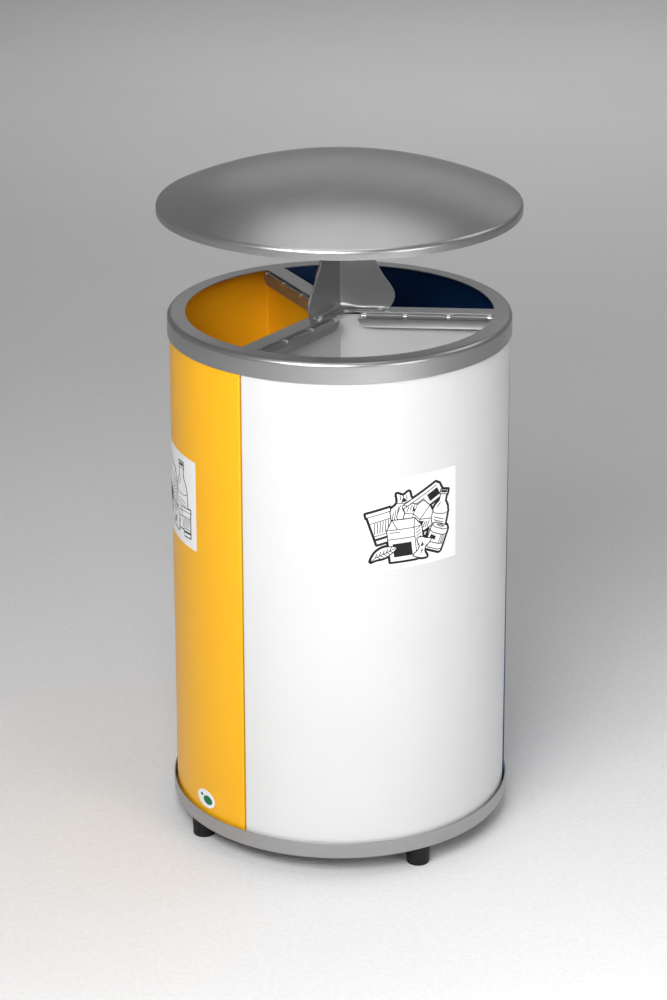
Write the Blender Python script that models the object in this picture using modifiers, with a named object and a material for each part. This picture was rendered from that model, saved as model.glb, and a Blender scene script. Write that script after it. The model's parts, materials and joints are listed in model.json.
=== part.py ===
"""Litter bin with three coloured containers, a lift-off head and a domed roof.

Metres, +Z up. The origin is on the floor, under the centre of the drum.
+X runs along the bar between the white and the blue container.
"""

from math import asin, atan2, cos, degrees, pi, radians, sin, sqrt

import bmesh
import bpy
from mathutils import Matrix, Vector
from mathutils.geometry import interpolate_bezier

MM = 0.001

# Drum
DRUM_RADIUS = 250 * MM
DRUM_SHEET = 1.5 * MM
SEAM_HALF_GAP = 1.0 * MM
FOOT_HEIGHT = 30 * MM
SECTOR_HALF_ANGLE = radians(60)
SECTORS = {"white": 300, "blue": 60, "yellow": 180}
ARC_STEP = radians(5)
GAP = 0.3 * MM

# Base tray
TRAY_RADIUS = 255 * MM
TRAY_HEIGHT = 24.3 * MM
TRAY_SHEET = 1.5 * MM
TRAY_BEND = 3 * MM

# Rubber feet and the screws that hold them
FOOT_CIRCLE = 235 * MM
FOOT_ANGLES = (33.5, 123.5, 213.5, 303.5)
FOOT_TOP_RADIUS = 18.0 * MM
FOOT_BOTTOM_RADIUS = 16.5 * MM
FOOT_BORE = 3.6 * MM
FOOT_SCREW_SHANK = 3.0 * MM
FOOT_SCREW_HEAD = 7.0 * MM
FOOT_SCREW_END = 12 * MM

# Floor pans
PAN_HEIGHT = 8 * MM

# Head
HEAD_TOP = 794 * MM
HEAD_RADIUS = 253 * MM
HEAD_SKIRT = 31.4 * MM
HEAD_SHEET = 2.0 * MM
HEAD_EDGE = 7.5 * MM
MOUTH_RADIUS = 226 * MM
BAR_WIDTH = 26 * MM
BAR_FOLD_DEPTH = 7 * MM
BAR_FOLD_SHEET = 1.5 * MM
BAR_FOLD_REACH = 98.2 * MM
CENTRE_FILLET = 35 * MM
MOUTH_FILLET = 2 * MM
BAR_ANGLES = {"right": 0, "rear": 120, "front": 240}

# Flap hinges. Stations are measured along the rod from its middle.
HINGE_OFFSET = 16 * MM
HINGE_DROP = 5.5 * MM
HINGE_MIDDLE = 128.25 * MM
ROD_RADIUS = 1.25 * MM
ROD_HEAD_RADIUS = 2.2 * MM
ROD_HEAD_LENGTH = 2.4 * MM
LUG_STATIONS = (-91 * MM, -31.75 * MM, 31.75 * MM, 91 * MM)
LUG_WIDTH = 5 * MM
LUG_RADIUS = 2.9 * MM
HINGE_BORE = 1.75 * MM
BARREL_RADIUS = 2.5 * MM
FLAP_LENGTH = 200.5 * MM
FLAP_DROP = 16.5 * MM
FLAP_SHEET = 0.8 * MM
FLAP_CORNER = 14 * MM

# Column between the head and the roof
COLUMN_SHEET = 1.5 * MM
COLUMN_BACK_GAP = 0.2 * MM
COLUMN_BEND = 2 * MM
COLUMN_TOP = 1003.8 * MM
FOOT_FLANGE = (20 * MM, 67 * MM)
FOOT_FLANGE_WIDTH = 12.5 * MM
COLUMN_SCREW_STATION = 60 * MM
COLUMN_SCREW_OFFSET = 7 * MM
COLUMN_SCREW_HOLE = 2.5 * MM
WING_EDGE = (
    ((71, 0), (75, 6), (81, 12), (81, 22)),
    ((81, 22), (81, 34), (66, 46), (57.5, 64)),
    ((57.5, 64), (51, 77), (46, 92), (46, 112)),
)

# Roof
ROOF_RADIUS = 266 * MM
ROOF_APEX = 1017.3 * MM
ROOF_RISE = 58.5 * MM
ROOF_RIM_BOTTOM = 945.5 * MM
ROOF_RIM_BEND = 8 * MM
ROOF_SHEET = 1.5 * MM
ROOF_PLATE_RADIUS = 75 * MM
TOP_PLATE_RADIUS = 52 * MM
PLATE_SHEET = 3 * MM
ROOF_SCREW_CIRCLE = 33 * MM
ROOF_SCREW_HOLE = 2.9 * MM

# Stickers: name, centre angle, centre height
STICKER_WIDTH = 150 * MM
STICKER_HEIGHT = 138 * MM
STICKER_SHEET = 0.3 * MM
STICKERS = (("white", 298.2, 550 * MM), ("yellow", 200.8, 535.6 * MM), ("blue", 60, 550 * MM))
BADGE_ANGLE = 221.2
BADGE_HEIGHT = 75.5 * MM
BADGE_SIZE = (44 * MM, 28 * MM)

CONTAINER_BOTTOM = FOOT_HEIGHT + TRAY_SHEET + GAP
CONTAINER_TOP = HEAD_TOP - 7.9 * MM
RING_STEPS = 48

# Outline planes: (u, v) of a flat outline goes to these world axes, and its thickness to the third.
UPRIGHT_XZ = Matrix.Rotation(pi / 2, 4, "X")
UPRIGHT_YZ = Matrix(((0, 0, 1, 0), (1, 0, 0, 0), (0, 1, 0, 0), (0, 0, 0, 1)))


# ---------------------------------------------------------------- scene and materials

for old in list(bpy.data.objects):
    bpy.data.objects.remove(old, do_unlink=True)

PARTS = bpy.data.collections.new("litter_bin")
CUTTERS = bpy.data.collections.new("litter_bin_cutters")
for collection in (PARTS, CUTTERS):
    bpy.context.scene.collection.children.link(collection)


def material(name, colour, metallic, roughness):
    made = bpy.data.materials.new(name)
    made.use_nodes = True
    shader = made.node_tree.nodes["Principled BSDF"]
    shader.inputs["Base Color"].default_value = (*colour, 1)
    shader.inputs["Metallic"].default_value = metallic
    shader.inputs["Roughness"].default_value = roughness
    return made


SILVER = material("silver_paint", (0.42, 0.42, 0.43), 0.6, 0.4)
PAINTS = {
    "white": material("white_paint", (0.86, 0.86, 0.86), 0, 0.35),
    "yellow": material("yellow_paint", (0.95, 0.50, 0.02), 0, 0.35),
    "blue": material("dark_blue_paint", (0.01, 0.025, 0.09), 0, 0.35),
}
RUBBER = material("black_rubber", (0.02, 0.02, 0.02), 0, 0.7)
STEEL = material("zinc_plated_steel", (0.7, 0.7, 0.7), 1, 0.3)
STICKER = material("white_sticker", (0.9, 0.9, 0.9), 0, 0.4)


# ---------------------------------------------------------------- making and joining solids


def place(obj, paint, where=Matrix.Identity(4), collection=PARTS):
    """Puts an object in its collection, at its place, with its material."""
    collection.objects.link(obj)
    obj.matrix_world = where
    if paint:
        obj.data.materials.append(paint)
    if obj.type == "MESH":
        obj.data.shade_smooth()
        obj.data.set_sharp_from_angle(angle=radians(30))
    return obj


def turned(name, profile, steps=RING_STEPS):
    """A solid turned about Z from (radius, height) points that start and end on the axis."""
    edges = [(i, i + 1) for i in range(len(profile) - 1)]
    mesh = bpy.data.meshes.new(name)
    mesh.from_pydata([(r, 0, z) for r, z in profile], edges, [])
    obj = bpy.data.objects.new(name, mesh)
    screw = obj.modifiers.new("turn", "SCREW")
    screw.steps = screw.render_steps = steps
    screw.use_merge_vertices = True
    screw.merge_threshold = 0.00001
    screw.use_smooth_shade = True
    return obj


def plate(name, loops, thickness, turn=Matrix.Identity(4)):
    """A flat outline with its holes, with half the thickness on each side of its plane."""
    curve = bpy.data.curves.new(name, "CURVE")
    curve.dimensions = "2D"
    curve.fill_mode = "BOTH"
    curve.extrude = thickness / 2
    for loop in loops:
        spline = curve.splines.new("POLY")
        spline.points.add(len(loop) - 1)
        for point, (u, v) in zip(spline.points, loop):
            point.co = (u, v, 0, 1)
        spline.use_cyclic_u = True
    outline = bpy.data.objects.new(name, curve)
    PARTS.objects.link(outline)
    graph = bpy.context.evaluated_depsgraph_get()
    mesh = bpy.data.meshes.new_from_object(outline.evaluated_get(graph))
    bpy.data.objects.remove(outline)
    bpy.data.curves.remove(curve)
    shape = bmesh.new()
    shape.from_mesh(mesh)
    bmesh.ops.remove_doubles(shape, verts=shape.verts, dist=0.000001)
    bmesh.ops.transform(shape, matrix=turn, verts=shape.verts)
    shape.to_mesh(mesh)
    shape.free()
    mesh.name = name
    return bpy.data.objects.new(name, mesh)


def box(low, high):
    """A bmesh box between two corners."""
    shape = bmesh.new()
    size = Vector(high) - Vector(low)
    middle = (Vector(high) + Vector(low)) / 2
    where = Matrix.Translation(middle) @ Matrix.Diagonal((*size, 1))
    bmesh.ops.create_cube(shape, size=1, matrix=where)
    return shape


def rod_mesh(radius, low, high, segments=12):
    """A bmesh cylinder along Z, between two heights."""
    shape = bmesh.new()
    where = Matrix.Translation((0, 0, (low + high) / 2))
    bmesh.ops.create_cone(
        shape,
        cap_ends=True,
        segments=segments,
        radius1=radius,
        radius2=radius,
        depth=high - low,
        matrix=where,
    )
    return shape


def gathered(name, shapes):
    """One object that holds (bmesh or mesh, matrix) shapes which stay clear of each other."""
    mesh = bpy.data.meshes.new(name)
    whole = bmesh.new()
    for shape, where in shapes:
        if isinstance(shape, bmesh.types.BMesh):
            copy = bpy.data.meshes.new(name)
            shape.to_mesh(copy)
        else:
            copy = shape.copy()
        copy.transform(where)
        whole.from_mesh(copy)
        bpy.data.meshes.remove(copy)
    whole.to_mesh(mesh)
    whole.free()
    return bpy.data.objects.new(name, mesh)


def combine(target, helper, operation, where=Matrix.Identity(4)):
    """Adds a Boolean of the helper to the target, and hides the helper."""
    place(helper, None, where, CUTTERS)
    helper.hide_render = True
    helper.display_type = "WIRE"
    boolean = target.modifiers.new(helper.name, "BOOLEAN")
    boolean.operation = operation
    boolean.solver = "EXACT"
    boolean.object = helper
    return target


def attach(child, parent):
    """Parents an object and leaves it where it is."""
    child.parent = parent
    child.matrix_parent_inverse = parent.matrix_world.inverted()


def empty(name, where, parent=None):
    made = bpy.data.objects.new(name, None)
    PARTS.objects.link(made)
    made.matrix_world = where
    bpy.context.view_layer.update()
    if parent:
        attach(made, parent)
    return made


# ---------------------------------------------------------------- outlines and places


def arc(centre, radius, start, end, steps):
    """Points on an arc, both ends included."""
    angles = [start + (end - start) * i / steps for i in range(steps + 1)]
    return [(centre[0] + radius * cos(a), centre[1] + radius * sin(a)) for a in angles]


def circle(radius, segments, centre=(0, 0)):
    return arc(centre, radius, 0, 2 * pi, segments)[:-1]


def sector_outline(offset, radius, corner, centre_fillet, corner_steps=3):
    """A third of a disc about +X, its straight sides moved in by offset and its corners rounded."""
    half = SECTOR_HALF_ANGLE
    reach = radius - corner
    side = offset + corner
    corner_angle = half - asin(side / reach)
    corner_centre = (reach * cos(corner_angle), reach * sin(corner_angle))
    mirrored_centre = (corner_centre[0], -corner_centre[1])
    hub = ((offset + centre_fillet) / sin(half), 0)
    steps = round(2 * corner_angle / ARC_STEP)
    line = half + pi / 2
    points = arc((0, 0), radius, -corner_angle, corner_angle, steps)
    points += arc(corner_centre, corner, corner_angle, line, corner_steps)[1:]
    points += arc(hub, centre_fillet, line, 2 * pi - line, 2 * corner_steps)
    points += arc(mirrored_centre, corner, -line, -corner_angle, corner_steps)[:-1]
    return points


def bend_outline(reach):
    """The section of a column sheet: two wings at 120 degrees, bent round the centre."""
    half = SECTOR_HALF_ANGLE
    line = half + pi / 2
    back = COLUMN_BACK_GAP
    front = COLUMN_BACK_GAP + COLUMN_SHEET
    bend_side = front + COLUMN_BEND
    hub = (bend_side / sin(half), 0)
    along = Vector((cos(half), sin(half)))
    inward = Vector((sin(half), -cos(half)))

    def wing_end(offset, sign):
        point = along * reach + inward * offset
        return (point.x, sign * point.y)

    points = [wing_end(front, 1), wing_end(back, 1)]
    points += arc(hub, bend_side - back, line, 2 * pi - line, 6)
    points += [wing_end(back, -1), wing_end(front, -1)]
    points += arc(hub, bend_side - front, 2 * pi - line, line, 6)
    return points


def wing_silhouette(base, top):
    """Points up the outer edge of a wing, as (distance from the centre, height above the bar)."""
    points = [(WING_EDGE[0][0][0] * MM, base)]
    for knots in WING_EDGE:
        start, first, second, end = (Vector((r, z)) * MM for r, z in knots)
        points += [tuple(p.xy) for p in interpolate_bezier(start, first, second, end, 6)[1:]]
    return points + [(points[-1][0], top)]


def about_z(angle):
    return Matrix.Rotation(radians(angle), 4, "Z")


def beside_bar(bar_angle, side, station, offset, height):
    """A point by its distance along a bar, its offset to one side (1 or -1) and its height."""
    local = Vector((station, side * offset, height))
    return about_z(bar_angle) @ local


def hinge_frame(bar_angle, side):
    """The frame on a flap's rod: X along it, Y out over the compartment."""
    where = beside_bar(bar_angle, side, HINGE_MIDDLE, HINGE_OFFSET, HEAD_TOP - HINGE_DROP)
    return Matrix.Translation(where) @ about_z(bar_angle if side == 1 else bar_angle + 180)


def hinges():
    """(flap's name, bar's angle, side) for the two flaps in each compartment."""
    for colour, angle in SECTORS.items():
        for bar, bar_angle in BAR_ANGLES.items():
            turn = (angle - bar_angle) % 360
            if turn in (60, 300):
                yield f"{colour}_{bar}", bar_angle, 1 if turn == 60 else -1


# ---------------------------------------------------------------- base


def make_base_tray():
    """A pressed tray with a turned-up rim and four screw holes."""
    floor = FOOT_HEIGHT + TRAY_SHEET
    rim = FOOT_HEIGHT + TRAY_HEIGHT
    inner = TRAY_RADIUS - TRAY_SHEET
    bend_centre = (TRAY_RADIUS - TRAY_BEND, FOOT_HEIGHT + TRAY_BEND)
    profile = [(0, floor)]
    profile += arc(bend_centre, TRAY_BEND - TRAY_SHEET, -pi / 2, 0, 2)
    profile += [(inner, rim), (TRAY_RADIUS, rim)]
    profile += arc(bend_centre, TRAY_BEND, 0, -pi / 2, 2)
    profile += [(0, FOOT_HEIGHT)]
    tray = turned("base_tray", profile)
    holes = [
        (
            rod_mesh(FOOT_BORE, FOOT_HEIGHT - 5 * MM, floor + 5 * MM),
            Matrix.Translation(foot_place(angle)),
        )
        for angle in FOOT_ANGLES
    ]
    combine(tray, gathered("tray_holes", holes), "DIFFERENCE")
    return place(tray, SILVER)


def foot_place(angle):
    return Vector((FOOT_CIRCLE * cos(radians(angle)), FOOT_CIRCLE * sin(radians(angle)), 0))


def make_rubber_foot(number, angle):
    """A tapered rubber foot with a blind bore for its screw."""
    top = FOOT_HEIGHT - GAP
    bore_end = FOOT_SCREW_END - 2 * MM
    chamfer = 1.5 * MM
    profile = [
        (0, bore_end),
        (FOOT_BORE, bore_end),
        (FOOT_BORE, top),
        (FOOT_TOP_RADIUS, top),
        (FOOT_BOTTOM_RADIUS, chamfer),
        (FOOT_BOTTOM_RADIUS - chamfer, 0),
        (0, 0),
    ]
    foot = turned(f"rubber_foot_{number}", profile, steps=20)
    return place(foot, RUBBER, Matrix.Translation(foot_place(angle)))


def make_foot_screw(number, angle):
    """A low pan-head screw, put in from above the tray."""
    seat = FOOT_HEIGHT + TRAY_SHEET + GAP
    profile = [
        (0, seat + 3 * MM),
        (FOOT_SCREW_HEAD * 0.7, seat + 3 * MM),
        (FOOT_SCREW_HEAD, seat + 1.2 * MM),
        (FOOT_SCREW_HEAD, seat),
        (FOOT_SCREW_SHANK, seat),
        (FOOT_SCREW_SHANK, FOOT_SCREW_END),
        (0, FOOT_SCREW_END),
    ]
    screw = turned(f"foot_screw_{number}", profile, steps=12)
    return place(screw, STEEL, Matrix.Translation(foot_place(angle)))


# ---------------------------------------------------------------- containers


def make_container(colour, angle):
    """A third of the drum: its curved wall and two flat partitions, bent from one sheet."""
    outer = sector_outline(SEAM_HALF_GAP, DRUM_RADIUS, 3 * MM, 3 * MM)
    inner_offset = SEAM_HALF_GAP + DRUM_SHEET
    inner = sector_outline(inner_offset, DRUM_RADIUS - DRUM_SHEET, 1.5 * MM, 1.5 * MM)
    wall = plate(f"container_{colour}", [outer, inner], CONTAINER_TOP - CONTAINER_BOTTOM)
    middle = (CONTAINER_TOP + CONTAINER_BOTTOM) / 2
    return place(wall, PAINTS[colour], Matrix.Translation((0, 0, middle)) @ about_z(angle))


def make_floor_pan(colour, angle):
    """A shallow pan that stands upside down on the tray and closes the container's bottom."""
    offset = SEAM_HALF_GAP + DRUM_SHEET + GAP
    radius = DRUM_RADIUS - DRUM_SHEET - GAP
    outline = sector_outline(offset, radius, 2 * MM, 2 * MM, 2)
    pan = plate(f"floor_pan_{colour}", [outline], PAN_HEIGHT)
    hollow_outline = sector_outline(offset + DRUM_SHEET, radius - DRUM_SHEET, 1 * MM, 1 * MM, 2)
    hollow = plate(f"pan_hollow_{colour}", [hollow_outline], PAN_HEIGHT)
    where = Matrix.Translation((0, 0, CONTAINER_BOTTOM + PAN_HEIGHT / 2)) @ about_z(angle)
    below = Matrix.Translation((0, 0, -DRUM_SHEET)) @ where
    combine(pan, hollow, "DIFFERENCE", below)
    return place(pan, PAINTS[colour], where)


def curved_patch(name, width, height):
    """A sheet that lies on the drum's outside, about +X, centred on z = 0."""
    inner = DRUM_RADIUS + 0.35 * MM
    half = width / 2 / DRUM_RADIUS
    steps = max(4, round(2 * half / radians(3)))
    outline = arc((0, 0), inner + STICKER_SHEET, -half, half, steps)
    outline += arc((0, 0), inner, half, -half, steps)
    return plate(name, [outline], height)


def make_sticker(colour, angle, height):
    sticker = curved_patch(f"sticker_{colour}", STICKER_WIDTH, STICKER_HEIGHT)
    return place(sticker, STICKER, Matrix.Translation((0, 0, height)) @ about_z(angle))


def make_badge():
    """A small oval sticker near the foot of the yellow container."""
    width, height = BADGE_SIZE
    where = Matrix.Translation((0, 0, BADGE_HEIGHT)) @ about_z(BADGE_ANGLE)
    badge = curved_patch("sticker_badge", width + 6 * MM, height + 6 * MM)
    oval = [(u * width / 2, v * height / 2) for u, v in circle(1, 28)]
    through = plate("badge_oval", [oval], 40 * MM, UPRIGHT_YZ)
    combine(badge, through, "INTERSECT", where @ Matrix.Translation((DRUM_RADIUS, 0, 0)))
    return place(badge, STICKER, where)


# ---------------------------------------------------------------- head


def hinge_lug_mesh():
    """An eye on a short arm, its hole round the rod, in the hinge's frame."""
    arm = HINGE_OFFSET - BAR_WIDTH / 2 + 1.2 * MM
    outline = [(-arm, -1.2 * MM), (0, -LUG_RADIUS)]
    outline += arc((0, 0), LUG_RADIUS, -pi / 2, pi / 2, 5)[1:]
    outline += [(-arm, 2.4 * MM)]
    return plate("lug", [outline, circle(HINGE_BORE, 8)], LUG_WIDTH, UPRIGHT_YZ).data


def make_head_frame():
    """A cap with a deep skirt, cut into a ring and three bars, with folds and hinge lugs."""
    edge_centre = (HEAD_RADIUS - HEAD_EDGE, HEAD_TOP - HEAD_EDGE)
    skirt_bottom = HEAD_TOP - HEAD_SKIRT
    profile = [(0, HEAD_TOP)]
    profile += arc(edge_centre, HEAD_EDGE, pi / 2, 0, 4)
    profile += [(HEAD_RADIUS, skirt_bottom), (HEAD_RADIUS - HEAD_SHEET, skirt_bottom)]
    profile += arc(edge_centre, HEAD_EDGE - HEAD_SHEET, 0, pi / 2, 4)
    profile += [(0, HEAD_TOP - HEAD_SHEET)]
    head = turned("head_frame", profile)

    mouth = sector_outline(BAR_WIDTH / 2, MOUTH_RADIUS, MOUTH_FILLET, CENTRE_FILLET)
    cutter = plate("mouth", [mouth], 60 * MM).data
    mouths = [(cutter, about_z(angle)) for angle in SECTORS.values()]
    combine(head, gathered("mouths", mouths), "DIFFERENCE", Matrix.Translation((0, 0, HEAD_TOP)))

    outer_face = HINGE_OFFSET - BAR_WIDTH / 2 + 0.3 * MM
    fold_low = (-BAR_FOLD_REACH, -outer_face - BAR_FOLD_SHEET, HINGE_DROP - BAR_FOLD_DEPTH)
    fold_high = (BAR_FOLD_REACH, -outer_face, HINGE_DROP - HEAD_SHEET / 2)
    folds = [(box(fold_low, fold_high), hinge_frame(bar, side)) for _, bar, side in hinges()]
    combine(head, gathered("bar_folds", folds), "UNION")

    lug = hinge_lug_mesh()
    lugs = [
        (lug, hinge_frame(bar, side) @ Matrix.Translation((station, 0, 0)))
        for _, bar, side in hinges()
        for station in LUG_STATIONS
    ]
    combine(head, gathered("hinge_lugs", lugs), "UNION")

    hole = rod_mesh(COLUMN_SCREW_HOLE, -6 * MM, 6 * MM, segments=10)
    holes = [(hole, Matrix.Translation(spot)) for spot in column_screw_places()]
    combine(head, gathered("column_screw_holes", holes), "DIFFERENCE")
    return place(head, SILVER)


def column_screw_places():
    """The six screw places on top of the bars, one on each side of each bar."""
    for bar_angle in BAR_ANGLES.values():
        for side in (1, -1):
            yield beside_bar(
                bar_angle, side, COLUMN_SCREW_STATION, COLUMN_SCREW_OFFSET, HEAD_TOP
            )


def make_hinge_rod(name, where):
    """A headed rod through the four lugs of one flap."""
    end = LUG_STATIONS[-1] + LUG_WIDTH / 2 + GAP + ROD_HEAD_LENGTH
    neck = end - ROD_HEAD_LENGTH
    profile = [
        (0, end),
        (ROD_HEAD_RADIUS, end),
        (ROD_HEAD_RADIUS, neck),
        (ROD_RADIUS, neck),
        (ROD_RADIUS, -neck),
        (ROD_HEAD_RADIUS, -neck),
        (ROD_HEAD_RADIUS, -end),
        (0, -end),
    ]
    rod = turned(f"hinge_rod_{name}", profile, steps=8)
    return place(rod, STEEL, where @ Matrix.Rotation(pi / 2, 4, "Y"))


def make_flap(name, where):
    """A hanging strip, rolled round its rod between the lugs, with rounded lower corners."""
    half_sheet = FLAP_SHEET / 2
    meet = asin(half_sheet / BARREL_RADIUS)
    section = [(-half_sheet, -FLAP_DROP), (half_sheet, -FLAP_DROP)]
    section += arc((0, 0), BARREL_RADIUS, meet - pi / 2, 3 * pi / 2 - meet, 10)
    flap = plate(f"flap_{name}", [section, circle(HINGE_BORE, 10)], FLAP_LENGTH, UPRIGHT_YZ)

    reach = 4 * MM
    half_slot = LUG_WIDTH / 2 + 0.6 * MM
    half_length = FLAP_LENGTH / 2 + 1 * MM
    slot_bottom = -LUG_RADIUS - 0.6 * MM
    spans = [(station - half_slot, station + half_slot) for station in LUG_STATIONS]
    spans[0] = (-half_length, spans[0][1])
    spans[-1] = (spans[-1][0], half_length)
    slots = [
        (box((low, -reach, slot_bottom), (high, reach, reach)), Matrix.Identity(4))
        for low, high in spans
    ]
    corner_x = FLAP_LENGTH / 2 - FLAP_CORNER
    corner_z = FLAP_CORNER - FLAP_DROP
    rounding = arc((corner_x, corner_z), FLAP_CORNER, -pi / 2, -0.02, 5)
    outside = rounding + [(half_length, corner_z), (half_length, -FLAP_DROP - reach)]
    outside += [(corner_x, -FLAP_DROP - reach)]
    corner = plate("corner", [outside], 4 * reach, UPRIGHT_XZ).data
    corners = [(corner, Matrix.Identity(4)), (corner, Matrix.Rotation(pi, 4, "Z"))]
    combine(flap, gathered(f"flap_slots_{name}", slots), "DIFFERENCE", where)
    combine(flap, gathered(f"flap_corners_{name}", corners), "DIFFERENCE", where)
    return place(flap, SILVER, where)


# ---------------------------------------------------------------- column


def make_column_sheet(colour, angle):
    """A sheet bent to 120 degrees, with shaped wings and a foot flange on each wing."""
    base = HEAD_TOP + 2 * GAP
    height = COLUMN_TOP - base
    sheet = plate(f"column_sheet_{colour}", [bend_outline(95 * MM)], height)
    where = Matrix.Translation((0, 0, base + height / 2)) @ about_z(angle)

    outside = wing_silhouette(-5 * MM, height + 10 * MM)
    outside += [(110 * MM, height + 10 * MM), (110 * MM, -5 * MM)]
    trim = plate("wing_trim", [outside], 12 * MM, UPRIGHT_XZ).data
    wings = [(trim, about_z(degrees(SECTOR_HALF_ANGLE) * sign)) for sign in (1, -1)]
    at_bar_top = Matrix.Translation((0, 0, HEAD_TOP)) @ about_z(angle)
    combine(sheet, gathered(f"wing_trims_{colour}", wings), "DIFFERENCE", at_bar_top)

    flanges = []
    for sign in (1, -1):
        turn = about_z(degrees(SECTOR_HALF_ANGLE) * sign)
        start, end = FOOT_FLANGE
        edge = -sign * FOOT_FLANGE_WIDTH
        root = -sign * 0.8 * MM
        tip = end - 6 * MM
        loop = [(start, root), (start + 4 * MM, edge), (tip, edge), (end, edge * 0.5), (end, root)]
        spot = (COLUMN_SCREW_STATION, -sign * COLUMN_SCREW_OFFSET)
        hole = circle(COLUMN_SCREW_HOLE, 10, spot)
        flange = plate("flange", [loop, hole], COLUMN_SHEET).data
        flanges.append((flange, turn))
    lift = Matrix.Translation((0, 0, HEAD_TOP + GAP + COLUMN_SHEET / 2)) @ about_z(angle)
    combine(sheet, gathered(f"foot_flanges_{colour}", flanges), "UNION", lift)
    return place(sheet, SILVER, where)


def make_column_screw(number, spot):
    """A button-head screw down through a foot flange and its bar."""
    seat = HEAD_TOP + 2 * GAP + COLUMN_SHEET
    profile = [
        (0, 2.2 * MM),
        (2.4 * MM, 1.9 * MM),
        (3.8 * MM, 0.6 * MM),
        (3.8 * MM, 0),
        (2.0 * MM, 0),
        (2.0 * MM, -10.5 * MM),
        (0, -10.5 * MM),
    ]
    screw = turned(f"column_screw_{number}", profile, steps=10)
    return place(screw, STEEL, Matrix.Translation((spot.x, spot.y, seat)))


def make_column_nut(number, spot):
    """A hexagon nut under the bar, with two of its flats along it."""
    thickness = 3.2 * MM
    hexagon = circle(7 * MM / sqrt(3), 6)
    nut = plate(f"column_nut_{number}", [hexagon, circle(COLUMN_SCREW_HOLE, 8)], thickness)
    height = HEAD_TOP - HEAD_SHEET - GAP - thickness / 2
    bar_turn = min(BAR_ANGLES.values(), key=lambda bar: abs((about_z(-bar) @ spot).y))
    inward = Matrix.Translation((spot.x, spot.y, height)) @ about_z(bar_turn)
    return place(nut, STEEL, inward)


def disc(name, radius, bottom, hole_radius):
    """A round plate with three screw holes, one in each sector."""
    holes = [circle(hole_radius, 10, (spot.x, spot.y)) for spot in roof_screw_places()]
    made = plate(name, [circle(radius, 36), *holes], PLATE_SHEET)
    return place(made, SILVER, Matrix.Translation((0, 0, bottom + PLATE_SHEET / 2)))


def roof_screw_places():
    for angle in SECTORS.values():
        yield about_z(angle) @ Vector((ROOF_SCREW_CIRCLE, 0, 0))


def make_roof_screw(number, spot):
    """A hexagon screw up through the column's top plate into the roof plate."""
    seat = COLUMN_TOP
    profile = [
        (0, seat + 6.5 * MM),
        (2.5 * MM, seat + 6.5 * MM),
        (2.5 * MM, seat),
        (4.4 * MM, seat),
        (4.4 * MM, seat - 3.0 * MM),
        (3.6 * MM, seat - 3.6 * MM),
        (0, seat - 3.6 * MM),
    ]
    screw = turned(f"roof_screw_{number}", profile, steps=12)
    return place(screw, STEEL, Matrix.Translation((spot.x, spot.y, 0)))


# ---------------------------------------------------------------- roof


def dome_profile(radius_in, apex_in):
    """(radius, height) points from the apex down over one face of the roof to its rim's bend."""
    sphere = (ROOF_RADIUS**2 + ROOF_RISE**2) / (2 * ROOF_RISE) - radius_in
    centre = apex_in - sphere
    bend = ROOF_RIM_BEND - radius_in
    bend_r = ROOF_RADIUS - ROOF_RIM_BEND
    bend_z = centre + sqrt((sphere - bend) ** 2 - bend_r**2)
    tilt = atan2(bend_r, bend_z - centre)
    steps = 6
    points = [
        (sphere * sin(tilt * i / steps), centre + sphere * cos(tilt * i / steps))
        for i in range(steps)
    ]
    return points + arc((bend_r, bend_z), bend, pi / 2 - tilt, 0, 3)


def make_roof():
    """A shallow dome with a turned-down rim."""
    outside = dome_profile(0, ROOF_APEX)
    inside = dome_profile(ROOF_SHEET, ROOF_APEX - ROOF_SHEET)
    rim = [(ROOF_RADIUS, ROOF_RIM_BOTTOM), (ROOF_RADIUS - ROOF_SHEET, ROOF_RIM_BOTTOM)]
    profile = outside + rim + inside[::-1]
    return place(turned("roof_dome", profile), SILVER)


# ---------------------------------------------------------------- assembly


def build():
    base = empty("bin_base", Matrix.Identity(4))
    head = empty("bin_head", Matrix.Translation((0, 0, HEAD_TOP)))

    fixed = [make_base_tray()]
    for number, angle in enumerate(FOOT_ANGLES, 1):
        fixed += [make_rubber_foot(number, angle), make_foot_screw(number, angle)]
    for colour, angle in SECTORS.items():
        fixed += [make_container(colour, angle), make_floor_pan(colour, angle)]
    fixed += [make_sticker(*row) for row in STICKERS]
    fixed.append(make_badge())

    lifted = [make_head_frame(), make_roof()]
    lifted += [make_column_sheet(colour, angle) for colour, angle in SECTORS.items()]
    for number, spot in enumerate(column_screw_places(), 1):
        lifted += [make_column_screw(number, spot), make_column_nut(number, spot)]
    lifted.append(disc("column_top_plate", TOP_PLATE_RADIUS, COLUMN_TOP + GAP, ROOF_SCREW_HOLE))
    roof_plate_bottom = COLUMN_TOP + 2 * GAP + PLATE_SHEET
    lifted.append(disc("roof_plate", ROOF_PLATE_RADIUS, roof_plate_bottom, ROOF_SCREW_HOLE))
    for number, spot in enumerate(roof_screw_places(), 1):
        lifted.append(make_roof_screw(number, spot))
    for name, bar_angle, side in hinges():
        where = hinge_frame(bar_angle, side)
        lifted += [make_hinge_rod(name, where), make_flap(name, where)]

    bpy.context.view_layer.update()
    for obj in fixed:
        attach(obj, base)
    for obj in lifted:
        attach(obj, head)
    attach(head, base)


build()
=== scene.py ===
"""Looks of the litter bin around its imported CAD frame. Metres, +Z up."""
import json
from math import acos, asin, atan2, cos, degrees, pi, radians, sin, sqrt, tan

import bmesh
import bpy
from mathutils import Matrix, Vector
from mathutils.geometry import interpolate_bezier, tessellate_polygon


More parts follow.
